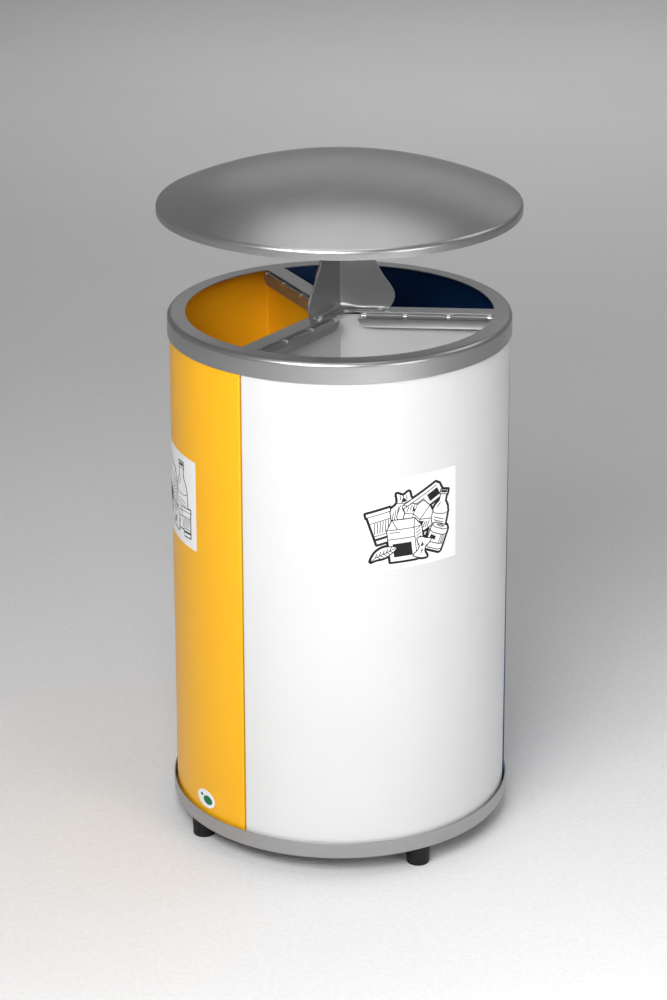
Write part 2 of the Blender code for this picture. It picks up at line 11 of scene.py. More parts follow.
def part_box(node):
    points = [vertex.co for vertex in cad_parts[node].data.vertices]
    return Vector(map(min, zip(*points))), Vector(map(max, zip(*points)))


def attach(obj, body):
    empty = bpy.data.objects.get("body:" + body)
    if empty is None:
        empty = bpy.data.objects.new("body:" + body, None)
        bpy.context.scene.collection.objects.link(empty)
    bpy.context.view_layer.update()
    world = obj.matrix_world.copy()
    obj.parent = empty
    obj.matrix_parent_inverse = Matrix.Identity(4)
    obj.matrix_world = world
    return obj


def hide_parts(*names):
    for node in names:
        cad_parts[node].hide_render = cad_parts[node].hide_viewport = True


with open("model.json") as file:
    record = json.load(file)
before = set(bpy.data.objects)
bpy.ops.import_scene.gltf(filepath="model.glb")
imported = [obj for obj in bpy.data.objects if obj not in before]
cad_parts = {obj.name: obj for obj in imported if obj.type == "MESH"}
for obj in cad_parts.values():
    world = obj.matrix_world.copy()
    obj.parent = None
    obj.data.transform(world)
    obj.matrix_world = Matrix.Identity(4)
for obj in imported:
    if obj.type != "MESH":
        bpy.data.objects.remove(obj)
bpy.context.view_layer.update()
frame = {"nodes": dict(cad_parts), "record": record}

MM = 0.001

# Sizes taken from the frame
HEAD_LOW, HEAD_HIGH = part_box("head_frame")
HEAD_TOP = HEAD_HIGH.z
HEAD_RADIUS = HEAD_HIGH.x
TRAY_LOW, TRAY_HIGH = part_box("base_tray")
ROOF_LOW, ROOF_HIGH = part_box("roof_dome")
WALL_LOW, WALL_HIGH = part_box("container_blue")
COLUMN_LOW, COLUMN_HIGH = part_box("column_sheet_yellow")

# Sizes that the frame's boxes don't give
DRUM_RADIUS = 250 * MM
DRUM_SHEET = 1.5 * MM
DRUM_CORNER = 3 * MM
DRUM_EDGE = 0.35 * MM
SEAM_HALF_GAP = 1.0 * MM
HEAD_SHEET = 2.0 * MM
HEAD_EDGE = 7.5 * MM
MOUTH_RADIUS = 226 * MM
BAR_WIDTH = 26 * MM
CENTRE_FILLET = 35 * MM
MOUTH_ROLL = 0.6 * MM
FOLD_HALF_LENGTH = 98.2 * MM
FOLD_SHEET = 1.5 * MM
FOLD_DEPTH = 7 * MM
SECTORS = {"white": 300, "blue": 60, "yellow": 180}
BARS = {"right": 0, "rear": 120, "front": 240}
HALF_SECTOR = radians(60)
LEANS = {"blue": 2.2 * MM}  # how far its foot stands out towards +X in the photograph
HINGE_OFFSET = 16 * MM
HINGE_DROP = 5.5 * MM
HINGE_MIDDLE = 128.25 * MM
LUG_STATIONS = (-91 * MM, -31.75 * MM, 31.75 * MM, 91 * MM)
LUG_WIDTH = 5 * MM
LUG_RADIUS = 2.9 * MM
HINGE_BORE = 1.75 * MM
BARREL_RADIUS = 2.5 * MM
FLAP_HALF_LENGTH = 100.25 * MM
FLAP_DROP = 16.5 * MM
FLAP_SHEET = 0.8 * MM
FLAP_CORNER = 14 * MM
COLUMN_SHEET = 1.5 * MM
COLUMN_BACK_GAP = 0.2 * MM
COLUMN_BEND = 2 * MM
FLANGE_WIDTH = 12.5 * MM
FLANGE_STATIONS = (1 * MM, 67 * MM)
FLANGE_TIP = 7 * MM  # the length of its rounded end
FILLET_RADIUS = 3.2 * MM
FILLET_GROWTH = 5.5 * MM  # how much larger the foot's fillet is near the centre
FILLET_STATIONS = (6 * MM, 32 * MM)  # where that growth is whole, and where it ends
WING_EDGE = (
    ((71, 0), (75, 6), (81, 12), (81, 22)),
    ((81, 22), (81, 34), (66, 46), (57.5, 64)),
    ((57.5, 64), (51, 77), (46, 92), (46, 112)),
)
ROOF_RISE = 58.5 * MM
ROOF_RIM_BEND = 8 * MM
ROOF_SHEET = 1.5 * MM
STICKER_LIFT = 0.35 * MM
STICKER_SHEET = 0.3 * MM
STICKER_SIZE = (150 * MM, 138 * MM)
STICKER_CORNER = 1.5 * MM
HEAP_DROP = 3 * MM  # how far a heap lies below its sticker's middle
BADGE_HALF_WIDTH = 22 * MM
LAYER = 0.03 * MM  # one printed layer
TRAY_SHEET = 1.5 * MM
FOOT_TAPER = 1.5 * MM
FOOT_HOLLOW = 1.6 * MM
ROD_RADIUS = 1.25 * MM
ROD_HEAD_RADIUS = 2.2 * MM
ROD_HEAD_LENGTH = 2.4 * MM
SCREW_HEAD_RADIUS = 3.8 * MM
SCREW_HEAD_HEIGHT = 2.2 * MM
SCREW_RADIUS = 2.0 * MM
SCREW_LENGTH = 10.5 * MM
SOCKET_RADIUS = 1.25 * MM
SOCKET_FLOOR = 0.6 * MM

# How finely round shapes are divided
TURN_STEPS = 240
RING_STEPS = 360
COLUMN_STEPS = 60
JOINT_STEPS = 10
CURVE_STEPS = 4

# The studio: its round floor in metres, and the camera
STAGE_RADIUS = 8.5
STAGE_HEIGHT = 6.0
STAGE_BEND = 1.6
STAGE_STEPS = 96
CAMERA_LENS = 103.24  # in millimetres, like the sensor
CAMERA_SENSOR = 36
CAMERA_SHIFT = (-0.0137, -0.170)
CAMERA_SPOT = (0.2904, -3.9947, 2.0565)
CAMERA_DOWN = 17.93  # how far it looks down, in degrees
CAMERA_ASIDE = 4.0  # how far it is turned aside, in degrees


# ---------------- materials


class Nodes:
    """A material and short calls that add nodes to it."""

    def __init__(self, name):
        self.material = bpy.data.materials.new(name)
        self.material.use_nodes = True
        self.tree = self.material.node_tree
        self.shader = self.tree.nodes["Principled BSDF"]
        self.place = self.add("ShaderNodeTexCoord").outputs["Object"]

    def add(self, kind, inputs=(), **settings):
        node = self.tree.nodes.new(kind)
        for key, value in settings.items():
            setattr(node, key, value)
        for key, value in dict(inputs).items():
            self.put(node.inputs[key], value)
        return node

    def put(self, socket, value):
        if isinstance(value, bpy.types.NodeSocket):
            self.tree.links.new(value, socket)
        else:
            socket.default_value = value

    def set(self, **values):
        for key, value in values.items():
            self.put(self.shader.inputs[key.replace("_", " ")], value)

    def noise(self, scale, detail, stretch=None, roughness=0.55):
        place = self.place
        if stretch:
            place = self.add("ShaderNodeMapping", {"Vector": place, "Scale": stretch}).outputs[0]
        found = self.add(
            "ShaderNodeTexNoise",
            {"Vector": place, "Scale": scale, "Detail": detail, "Roughness": roughness},
        )
        return found.outputs[0]

    def ranged(self, value, low, high, start=0.3, end=0.7):
        found = self.add(
            "ShaderNodeMapRange",
            {"Value": value, "From Min": start, "From Max": end, "To Min": low, "To Max": high},
        )
        return found.outputs[0]

    def mixed(self, share, first, second):
        mix = self.add("ShaderNodeMix", data_type="RGBA")
        self.put(mix.inputs[0], share)
        self.put(mix.inputs[6], first)
        self.put(mix.inputs[7], second)
        return mix.outputs[2]

    def bump(self, height, strength, distance, normal=None):
        inputs = {"Height": height, "Strength": strength, "Distance": distance}
        if normal:
            inputs["Normal"] = normal
        return self.add("ShaderNodeBump", inputs).outputs[0]

    def edges(self, start, end):
        """1 on worn convex edges, 0 elsewhere."""
        pointed = self.add("ShaderNodeNewGeometry").outputs["Pointiness"]
        return self.ranged(pointed, 0.0, 1.0, start, end)


def rgb(*parts):
    return (*parts, 1.0)


def powder_paint(name, colour, shade, roughness, gloss):
    """A coloured powder coat: faint orange peel, slight cloudiness and a little dust."""
    look = Nodes(name)
    cloud = look.ranged(look.noise(7.0, 4.0), 0.0, 1.0)
    base = look.mixed(cloud, rgb(*colour), rgb(*shade))
    speck = look.ranged(look.noise(900.0, 2.0), 0.0, 0.10, 0.62, 0.75)
    base = look.mixed(speck, base, rgb(*(c * 0.75 for c in colour)))
    rough = look.ranged(look.noise(26.0, 5.0), roughness - 0.03, roughness + 0.04)
    peel = look.bump(look.noise(420.0, 2.0), 0.10, 0.0002)
    wave = look.bump(look.noise(11.0, 1.0), 0.10, 0.0016, peel)
    look.set(Base_Color=base, Roughness=rough, Normal=wave, Specular_IOR_Level=gloss)
    return look.material


def silver_paint(name, colour, shade, metallic, roughness):
    """A silver coat: metal flake and a fine orange peel."""
    look = Nodes(name)
    cloud = look.ranged(look.noise(9.0, 4.0), 0.0, 1.0)
    base = look.mixed(cloud, rgb(*colour), rgb(*shade))
    flake = look.add("ShaderNodeTexVoronoi", {"Vector": look.place, "Scale": 2600.0})
    sparkle = look.ranged(flake.outputs["Color"], 0.0, 0.10, 0.2, 0.9)
    base = look.mixed(sparkle, base, rgb(*(min(1, c * 1.35) for c in colour)))
    rough = look.ranged(look.noise(33.0, 5.0), roughness - 0.01, roughness + 0.03)
    grain = look.bump(look.noise(700.0, 1.0), 0.012, 0.0001)
    peel = look.bump(look.noise(150.0, 1.0), 0.03, 0.0002, grain)
    look.set(Base_Color=base, Metallic=metallic, Roughness=rough, Normal=peel)
    return look.material


def bright_steel(name):
    """Zinc-plated steel with fine turning marks and tiny stains."""
    look = Nodes(name)
    stain = look.ranged(look.noise(240.0, 5.0), 0.0, 1.0, 0.45, 0.8)
    base = look.mixed(stain, rgb(0.93, 0.93, 0.92), rgb(0.74, 0.73, 0.70))
    rough = look.ranged(look.noise(600.0, 3.0), 0.26, 0.40)
    marks = look.bump(look.noise(900.0, 2.0, (1, 1, 6)), 0.15, 0.0001)
    look.set(Base_Color=base, Metallic=0.8, Roughness=rough, Normal=marks)
    return look.material


def rubber(name):
    """Black rubber with a moulded grain, paler where it is scuffed or dusty."""
    look = Nodes(name)
    dust = look.ranged(look.noise(160.0, 6.0), 0.0, 0.5, 0.5, 0.8)
    base = look.mixed(dust, rgb(0.005, 0.005, 0.006), rgb(0.030, 0.029, 0.027))
    base = look.mixed(look.edges(0.54, 0.66), base, rgb(0.035, 0.034, 0.032))
    rough = look.ranged(look.noise(90.0, 4.0), 0.45, 0.68)
    grain = look.bump(look.noise(1300.0, 3.0), 0.35, 0.0002)
    look.set(Base_Color=base, Roughness=rough, Normal=grain, Specular_IOR_Level=0.3)
    return look.material


def film(name, colour, shade, roughness, gloss=0.5):
    """Printed plastic film, with faint ripples where it was rubbed down."""
    look = Nodes(name)
    base = look.mixed(look.ranged(look.noise(60.0, 5.0), 0.0, 1.0), rgb(*colour), rgb(*shade))
    rough = look.ranged(look.noise(45.0, 4.0), roughness - 0.04, roughness + 0.06)
    ripple = look.bump(look.noise(38.0, 2.0), 0.12, 0.0005)
    look.set(Base_Color=base, Roughness=rough, Normal=ripple, Specular_IOR_Level=gloss)
    return look.material


SILVER = silver_paint("silver_paint_look", (0.40, 0.40, 0.405), (0.375, 0.375, 0.38), 0.8, 0.30)
SATIN = silver_paint("satin_silver_look", (0.39, 0.39, 0.395), (0.36, 0.36, 0.365), 0.8, 0.38)
PAINTS = {
    "white": powder_paint("white_paint_look", (0.70, 0.70, 0.70), (0.68, 0.68, 0.675), 0.36, 0.5),
    "yellow": powder_paint(
        "yellow_paint_look", (0.95, 0.475, 0.010), (0.92, 0.455, 0.009), 0.34, 0.28
    ),
    "blue": powder_paint(
        "blue_paint_look", (0.008, 0.042, 0.140), (0.007, 0.036, 0.120), 0.36, 0.4
    ),
}
STEEL = bright_steel("zinc_look")
RUBBER = rubber("rubber_look")
FILM = film("sticker_film_look", (0.90, 0.90, 0.91), (0.87, 0.87, 0.885), 0.33)
INK = film("sticker_ink_look", (0.008, 0.008, 0.009), (0.014, 0.014, 0.015), 0.42, 0.2)
GREEN = film("badge_green_look", (0.002, 0.18, 0.078), (0.001, 0.16, 0.068), 0.45, 0.2)
SLOTS = {
    "silver_paint": SILVER,
    "white_paint": PAINTS["white"],
    "yellow_paint": PAINTS["yellow"],
    "dark_blue_paint": PAINTS["blue"],
    "black_rubber": RUBBER,
    "zinc_plated_steel": STEEL,
    "white_sticker": FILM,
}


# ---------------- outlines


def arc(centre, radius, start, end, steps):
    """Points on an arc, both ends included."""
    angles = [start + (end - start) * i / steps for i in range(steps + 1)]
    return [(centre[0] + radius * cos(a), centre[1] + radius * sin(a)) for a in angles]


def circle(radius, segments, centre=(0, 0)):
    return arc(centre, radius, 0, 2 * pi, segments)[:-1]


def rounded(corners, closed=True, steps=5):
    """The outline through (x, y, radius) corners, each rounded by its radius."""
    points = []
    count = len(corners)
    for i, (x, y, radius) in enumerate(corners):
        corner = Vector((x, y))
        if radius == 0 or (not closed and i in (0, count - 1)):
            points.append((x, y))
            continue
        before = (Vector(corners[i - 1][:2]) - corner).normalized()
        after = (Vector(corners[(i + 1) % count][:2]) - corner).normalized()
        half = acos(max(-1, min(1, before.dot(after)))) / 2
        centre = corner + (before + after).normalized() * (radius / sin(half))
        start = corner + before * (radius / tan(half)) - centre
        end = corner + after * (radius / tan(half)) - centre
        first = atan2(start.y, start.x)
        sweep = (atan2(end.y, end.x) - first + pi) % (2 * pi) - pi
        points += arc(centre, radius, first, first + sweep, steps)
    return points


def sector(offset, radius, corner, hub_fillet, arc_steps):
    """A third of a disc about +X, its sides moved in by offset and its corners rounded."""
    reach = radius - corner
    corner_angle = HALF_SECTOR - asin((offset + corner) / reach)
    upper = (reach * cos(corner_angle), reach * sin(corner_angle))
    lower = (upper[0], -upper[1])
    hub = ((offset + hub_fillet) / sin(HALF_SECTOR), 0)
    line = HALF_SECTOR + pi / 2
    points = arc((0, 0), radius, -corner_angle, corner_angle, arc_steps)
    points += arc(upper, corner, corner_angle, line, 6)[1:]
    points += arc(hub, hub_fillet, line, 2 * pi - line, 18)
    points += arc(lower, corner, -line, -corner_angle, 6)[:-1]
    return points


def turned_points(points, angle):
    """Points turned about the origin by an angle in degrees."""
    c, s = cos(radians(angle)), sin(radians(angle))
    return [(x * c - y * s, x * s + y * c) for x, y in points]


def band(first, second, count):
    """Quads between two rings of count points, numbered from first and from second."""
    return [
        (first + k, first + (k + 1) % count, second + (k + 1) % count, second + k)
        for k in range(count)
    ]


# ---------------- meshes


def linked(name, data):
    """A new object in the scene that holds some data."""
    made = bpy.data.objects.new(name, data)
    bpy.context.scene.collection.objects.link(made)
    return made


def piece(name, mesh, material, where=None, sharp=32, bevel=None):
    """A shown object: smooth shaded, with its sharp edges kept, and optionally bevelled."""
    made = linked(name, mesh)
    if where is not None:
        mesh.transform(where)
    mesh.materials.clear()
    mesh.materials.append(material)
    if bevel:
        rounding = made.modifiers.new("rounding", "BEVEL")
        rounding.width = bevel
        rounding.segments = 2
        rounding.limit_method = "ANGLE"
        rounding.angle_limit = radians(50)
    mesh.shade_smooth()
    mesh.set_sharp_from_angle(angle=radians(89 if bevel else sharp))
    weighted = made.modifiers.new("flat faces stay flat", "WEIGHTED_NORMAL")
    weighted.keep_sharp = True
    return made


def from_faces(name, points, faces):
    mesh = bpy.data.meshes.new(name)
    mesh.from_pydata([tuple(p) for p in points], [], faces)
    shape = bmesh.new()
    shape.from_mesh(mesh)
    bmesh.ops.recalc_face_normals(shape, faces=shape.faces)
    shape.to_mesh(mesh)
    shape.free()
    return mesh


def turned(name, profile, steps=TURN_STEPS, hexed=()):
    """A mesh turned about Z. Rows numbered in hexed get a hexagonal shape."""
    points, rows = [], []
    for i, (radius, height) in enumerate(profile):
        if radius < 1e-7:
            rows.append([len(points)] * steps)
            points.append((0, 0, height))
            continue
        rows.append(list(range(len(points), len(points) + steps)))
        for k in range(steps):
            a = 2 * pi * k / steps
            reach = radius
            if i in hexed:
                reach = radius / cos((a + pi / 6) % (pi / 3) - pi / 6)
            points.append((reach * cos(a), reach * sin(a), height))
    faces = []
    for low, high in zip(rows, rows[1:]):
        for k in range(steps):
            after = (k + 1) % steps
            corners = [low[k], low[after], high[after], high[k]]
            face = [c for j, c in enumerate(corners) if c != corners[j - 1]]
            if len(face) > 2:
                faces.append(face)
    return from_faces(name, points, faces)


def loft(name, loops, close=True):
    """A closed skin through loops of equal length; the last loop joins the first if close."""
    count = len(loops[0])
    points = [p for loop in loops for p in loop]
    faces = []
    for i in range(len(loops) if close else len(loops) - 1):
        faces += band(i * count, (i + 1) % len(loops) * count, count)
    if not close:
        faces += [tuple(range(count)), tuple(range(len(points) - count, len(points)))]
    return from_faces(name, points, faces)


def plate(name, loops, thickness, edge, turn):
    """A flat outline with its holes and rounded edges, half its thickness on each side."""
    curve = bpy.data.curves.new(name, "CURVE")
    curve.dimensions = "2D"
    curve.fill_mode = "BOTH"
    curve.extrude = thickness / 2 - edge
    curve.bevel_depth = edge
    curve.bevel_resolution = 2
    curve.offset = -edge
    for loop in loops:
        spline = curve.splines.new("POLY")
        spline.points.add(len(loop) - 1)
        for point, (u, v) in zip(spline.points, loop):
            point.co = (u, v, 0, 1)
        spline.use_cyclic_u = True
    outline = linked(name, curve)
    graph = bpy.context.evaluated_depsgraph_get()
    mesh = bpy.data.meshes.new_from_object(outline.evaluated_get(graph))
    bpy.data.objects.remove(outline)
    bpy.data.curves.remove(curve)
    shape = bmesh.new()
    shape.from_mesh(mesh)
    bmesh.ops.remove_doubles(shape, verts=shape.verts, dist=1e-6)
    bmesh.ops.transform(shape, matrix=turn, verts=shape.verts)
    shape.to_mesh(mesh)
    shape.free()
    mesh.name = name
    return mesh


def joined(name, meshes):
    """One mesh that holds copies of several (mesh, matrix) shapes."""
    whole = bmesh.new()
    for mesh, where in meshes:
        copy = mesh.copy()
        copy.transform(where)
        whole.from_mesh(copy)
        bpy.data.meshes.remove(copy)
    mesh = bpy.data.meshes.new(name)
    whole.to_mesh(mesh)
    whole.free()
    return mesh


UPRIGHT_XZ = Matrix.Rotation(pi / 2, 4, "X")
UPRIGHT_YZ = Matrix(((0, 0, 1, 0), (1, 0, 0, 0), (0, 1, 0, 0), (0, 0, 0, 1)))
ALONG_X = Matrix.Rotation(pi / 2, 4, "Y")


def about_z(angle):
    return Matrix.Rotation(radians(angle), 4, "Z")


def lifted(height):
    return Matrix.Translation((0, 0, height))


def hinge_frame(bar_angle, side):
    """The place of a flap's rod: X along it, Y out over the compartment."""
    local = Vector((HINGE_MIDDLE, side * HINGE_OFFSET, HEAD_TOP - HINGE_DROP))
    where = about_z(bar_angle) @ local
    return Matrix.Translation(where) @ about_z(bar_angle if side == 1 else bar_angle + 180)


def hinges():
    """(flap's name, its frame) for the two flaps in each compartment."""
    for colour, angle in SECTORS.items():
        for bar, bar_angle in BARS.items():
            turn = (angle - bar_angle) % 360
            if turn in (60, 300):
                yield f"{colour}_{bar}", hinge_frame(bar_angle, 1 if turn == 60 else -1)


def shown(made, body, slot, *nodes):
    """Puts a piece on its body and hides the CAD nodes it stands for. The slot argument is not used.
    """
    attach(made, body)
    if nodes:
        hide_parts(*nodes)


# ---------------- base


def make_base():
    low, high = TRAY_LOW.z, TRAY_HIGH.z
    outer = TRAY_HIGH.x
    inner = outer - TRAY_SHEET
    section = rounded(
        [
            (0, low, 0),
            (outer, low, 3 * MM),
            (outer, high, 0.2 * MM),
            (inner, high, 0.2 * MM),
            (inner, low + TRAY_SHEET, 1.5 * MM),
            (0, low + TRAY_SHEET, 0),
        ],
        closed=False,
    )
    tray = piece("tray", turned("tray", section), SILVER)
    shown(tray, "base", "silver_paint", "base_tray")

    for number in range(1, 5):
        node = f"rubber_foot_{number}"
        foot_low, foot_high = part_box(node)
        centre = (foot_low + foot_high) / 2
        wide = (foot_high.x - foot_low.x) / 2
        top = foot_high.z
        section = rounded(
            [
                (0, top, 0),
                (wide, top, 1.2 * MM),
                (wide - FOOT_TAPER, 0, 2.2 * MM),
                (9 * MM, 0, 0.8 * MM),
                (8 * MM, FOOT_HOLLOW, 0.8 * MM),
                (0, FOOT_HOLLOW, 0),
            ],
            closed=False,
        )
        where = Matrix.Translation((centre.x, centre.y, 0))
        foot = piece(f"foot_{number}", turned("foot", section, steps=64), RUBBER, where)
        shown(foot, "base", "black_rubber", node)


def make_containers():
    low, high = WALL_LOW.z, WALL_HIGH.z
    inset, edge, corner = SEAM_HALF_GAP + DRUM_SHEET, DRUM_EDGE, DRUM_CORNER
    inner_corner = corner - DRUM_SHEET
    outer = sector(SEAM_HALF_GAP, DRUM_RADIUS, corner, corner, 120)
    inner = sector(inset, DRUM_RADIUS - DRUM_SHEET, inner_corner, inner_corner, 120)
    middle = sector(SEAM_HALF_GAP + edge, DRUM_RADIUS - edge, corner - edge, corner - edge, 120)
    rows = (
        (outer, low + edge),
        (outer, high - edge),
        (middle, high),
        (inner, high),
        (inner, low),
        (middle, low),
    )
    slots = {"white": "white_paint", "yellow": "yellow_paint", "blue": "dark_blue_paint"}
    for colour, angle in SECTORS.items():
        loops = [[(x, y, z) for x, y in turned_points(outline, angle)] for outline, z in rows]
        mesh = loft(f"wall_{colour}", loops)
        lean = LEANS.get(colour, 0) / (high - low)
        mesh.transform(
            Matrix(((1, 0, -lean, lean * high), (0, 1, 0, 0), (0, 0, 1, 0), (0, 0, 0, 1)))
        )
        wall = piece(f"wall_{colour}", mesh, PAINTS[colour])
        shown(wall, "base", slots[colour], f"container_{colour}")


# ---------------- stickers


def on_drum(mesh, centre_angle, centre_height, tilt, lift):
    """Bends a flat mesh (x along the drum, y up, z out) round the drum."""
    shape = bmesh.new()
    shape.from_mesh(mesh)
    turn = Matrix.Rotation(tilt, 4, "Z")
    bmesh.ops.transform(shape, matrix=turn, verts=shape.verts)
    reach = max(abs(v.co.x) for v in shape.verts)
    step = 3 * MM
    for i in range(-int(reach / step) - 1, int(reach / step) + 2):
        geometry = shape.verts[:] + shape.edges[:] + shape.faces[:]
        bmesh.ops.bisect_plane(
            shape, geom=geometry, dist=1e-7, plane_co=(i * step, 0, 0), plane_no=(1, 0, 0)
        )
    for vertex in shape.verts:
        angle = radians(centre_angle) + vertex.co.x / DRUM_RADIUS
        radius = DRUM_RADIUS + lift + vertex.co.z
        vertex.co = Vector((radius * cos(angle), radius * sin(angle), centre_height + vertex.co.y))
    shape.to_mesh(mesh)
    shape.free()


def stroke(path, width, closed=False):
    """Flat quads and round joints that draw a line along a path."""
    polygons = []
    count = len(path)
    half = width / 2
    for i in range(count if closed else count - 1):
        a, b = Vector(path[i]), Vector(path[(i + 1) % count])
        if (b - a).length < 1e-6:
            continue
        along = (b - a).normalized()
        side = Vector((-along.y, along.x)) * half
        polygons.append([a + side, a - side, b - side, b + side])
    for x, y in path:
        polygons.append([Vector(p) for p in circle(half, JOINT_STEPS, (x, y))])
    return polygons


def smooth_path(points):
    """A closed Catmull-Rom curve through points."""
    count = len(points)
    found = []
    for i in range(count):
        p = [Vector(points[(i + k) % count]) for k in (-1, 0, 1, 2)]
        for step in range(CURVE_STEPS):
            t = step / CURVE_STEPS
            spot = (
                2 * p[1]
                + (p[2] - p[0]) * t
                + (2 * p[0] - 5 * p[1] + 4 * p[2] - p[3]) * t**2
                + (3 * p[1] - p[0] - 3 * p[2] + p[3]) * t**3
            ) / 2
            found.append(tuple(spot))
    return found


def hatch(start, end, along, count):
    """Parallel lines: the first runs along from start, the last along from end."""
    lines = []
    for i in range(count):
        t = i / (count - 1)
        x, y = (a + (b - a) * t for a, b in zip(start, end))
        lines.append([(x, y), (x + along[0], y + along[1])])
    return lines


# Line drawings of everyday rubbish, in millimetres about each drawing's own centre.
# Each has an outline, thin lines and filled dark areas.
DRAWINGS = {
    "carton": {
        "outline": [(-16, -20), (10, -23), (18, -17), (18, 8), (12, 17), (-10, 20), (-16, 11)],
        "lines": [
            [(-16, 11), (10, 8), (10, -23)],
            [(10, 8), (18, 8)],
            [(10, 8), (12, 17)],
            [(-16, 2), (10, -1)],
            [(-10, 20), (-6, 10)],
            [(-13, 8), (-4, 7)],
            *hatch((12, 5), (12, -19), (4, 2), 9),
        ],
        "dark": [[(-12, -3), (6, -5), (6, -18), (-12, -16)]],
    },
    "cup": {
        "outline": [
            (-9, -17), (8, -17), (11, 13), (12, 13), (12, 17), (-13, 17), (-13, 13), (-12, 13),
        ],
        "lines": [
            [(-12, 13), (11, 13)],
            [(-11, 6), (10, 6)],
            [(-10, -8), (9, -8)],
            *hatch((-9, -6), (5, -6), (3, 11), 6),
        ],
        "dark": [[(-9.5, -10.5), (8.6, -10.5), (8.4, -13), (-9.2, -13)]],
    },
    "can": {
        "outline": [
            (-9, -14), (9, -14), (11, -12), (11, 12), (8, 15), (-8, 15), (-11, 12), (-11, -12),
        ],
        "lines": [
            [(-11, 12), (-6, 10), (6, 10), (11, 12)],
            [(-11, -10), (-6, -12), (6, -12), (11, -10)],
            [(-5, 13), (0, 12), (5, 13), (0, 14), (-5, 13)],
            [(-11, 6), (-6, 4), (6, 4), (11, 6)],
            [(-11, -4), (-6, -6), (6, -6), (11, -4)],
            *hatch((5, -5), (9, -4), (0, 9), 3),
        ],
        "dark": [[(-8, 2), (-1, 1), (-1, -3), (-8, -2)]],
    },
    "bottle": {
        "outline": [
            (-9, -27), (9, -27), (10, -24), (10, 4), (8, 10), (4, 15), (4, 21), (5, 22),
            (5, 27), (-5, 27), (-5, 22), (-4, 21), (-4, 15), (-8, 10), (-10, 4), (-10, -24),
        ],
        "lines": [
            [(-5, 22), (5, 22)],
            [(-10, 3), (-5, 1), (5, 1), (10, 3)],
            [(-10, -15), (-5, -17), (5, -17), (10, -15)],
            *hatch((-6, -3), (-6, -12), (12, -2), 4),
            [(-6, -20), (-6, -24)],
            [(-2, 13), (-5, 8)],
        ],
        "dark": [[(-4, 26), (4, 26), (4, 23.5), (-4, 23.5)]],
    },
    "paper_ball": {
        "outline": [
            (-15, -3), (-12, 6), (-13, 10), (-5, 14), (0, 12), (6, 15), (12, 9),
            (15, 3), (13, -3), (14, -9), (6, -13), (1, -11), (-6, -14), (-12, -9),
        ],
        "lines": [
            [(-12, 6), (-4, 4), (0, 12)],
            [(-4, 4), (2, -2), (12, 9)],
            [(2, -2), (1, -11)],
            [(-15, -3), (-6, -4), (-4, 4)],
            [(-6, -4), (-6, -14)],
            [(2, -2), (13, -3)],
            *hatch((5, -5), (11, -5), (-2, -5), 4),
            *hatch((-10, 7), (-4, 9), (2, 4), 3),
        ],
        "dark": [[(2, -3.5), (6, -4), (3, -9)], [(-5, 6), (-2, 7), (-4, 11)]],
    },
    "apple": {
        "smooth": True,
        "outline": [
            (-9, 9), (-3, 11), (3, 10), (9, 10), (7, 4), (4, 0), (5, -6), (9, -11),
            (0, -13), (-9, -11), (-5, -5), (-4, 0), (-7, 4),
        ],
        "lines": [[(0, 10), (1, 17), (4, 19)], [(-1, 5), (-2, 0)], [(1, -3), (0, -8)]],
        "dark": [[(-2, 3), (0.5, 4), (1, 1), (-1.5, 0)], [(-1, -4), (1.5, -4), (0.5, -7)]],
    },
    "leaf": {
        "smooth": True,
        "outline": [
            (-17, -5), (-9, 4), (1, 7), (10, 5), (17, 1), (9, -4), (-1, -6), (-10, -5),
        ],
        "lines": [
            [(-17, -5), (-9, -2), (15, 1)],
            *hatch((-10, -2), (8, 0), (3, 4), 5),
            *hatch((-8, -2), (8, 0), (3, -3), 5),
        ],
        "dark": [],
    },
    "newspaper": {
        "outline": [
            (-22, -6), (-20, -9), (20, -9), (23, -5), (23, 4), (20, 8), (-20, 8), (-22, 5),
        ],
        "lines": [
            [(-20, 8), (-17, 5), (-17, -5), (-20, -9)],
            [(-13, 4.5), (19, 4.5)],
            *hatch((-13, 1), (-13, -6.5), (15, 0), 4),
        ],
        "dark": [[(6, 2), (19, 2), (19, -6), (6, -6)]],
    },
    "sheet": {
        "outline": [(-15, -19), (15, -19), (15, 12), (8, 19), (-15, 19)],
        "lines": [
            [(8, 19), (8, 12), (15, 12)],
            [(-10, 12), (3, 12)],
            *hatch((-10, 6), (-10, -12), (20, 0), 5),
        ],
        "dark": [],
    },
    "envelope": {
        "outline": [(-18, -12), (18, -12), (18, 12), (-18, 12)],
        "lines": [
            [(-18, 12), (0, -1), (18, 12)],
            [(-18, -12), (-5, 2)],
            [(18, -12), (5, 2)],
        ],
        "dark": [],
    },
    "bag": {
        "smooth": True,
        "outline": [
            (-20, -18), (20, -18), (23, -8), (19, 6), (8, 14), (6, 22), (0, 20),
            (-6, 23), (-7, 14), (-18, 7), (-23, -7),
        ],
        "lines": [
            [(-7, 14), (0, 12), (8, 14)],
            [(-4, 11), (-9, 2), (-8, -4)],
            [(3, 11), (7, 3), (6, -6)],
            *hatch((-14, 4), (-6, 10), (-3, -9), 4),
            *hatch((9, 10), (16, 4), (2, -8), 4),
            *hatch((-3, 20), (3, 19), (0, -4), 3),
        ],
        "dark": [[(-3, 13.4), (3, 13.4), (1, 17), (-1, 17)]],
    },
}

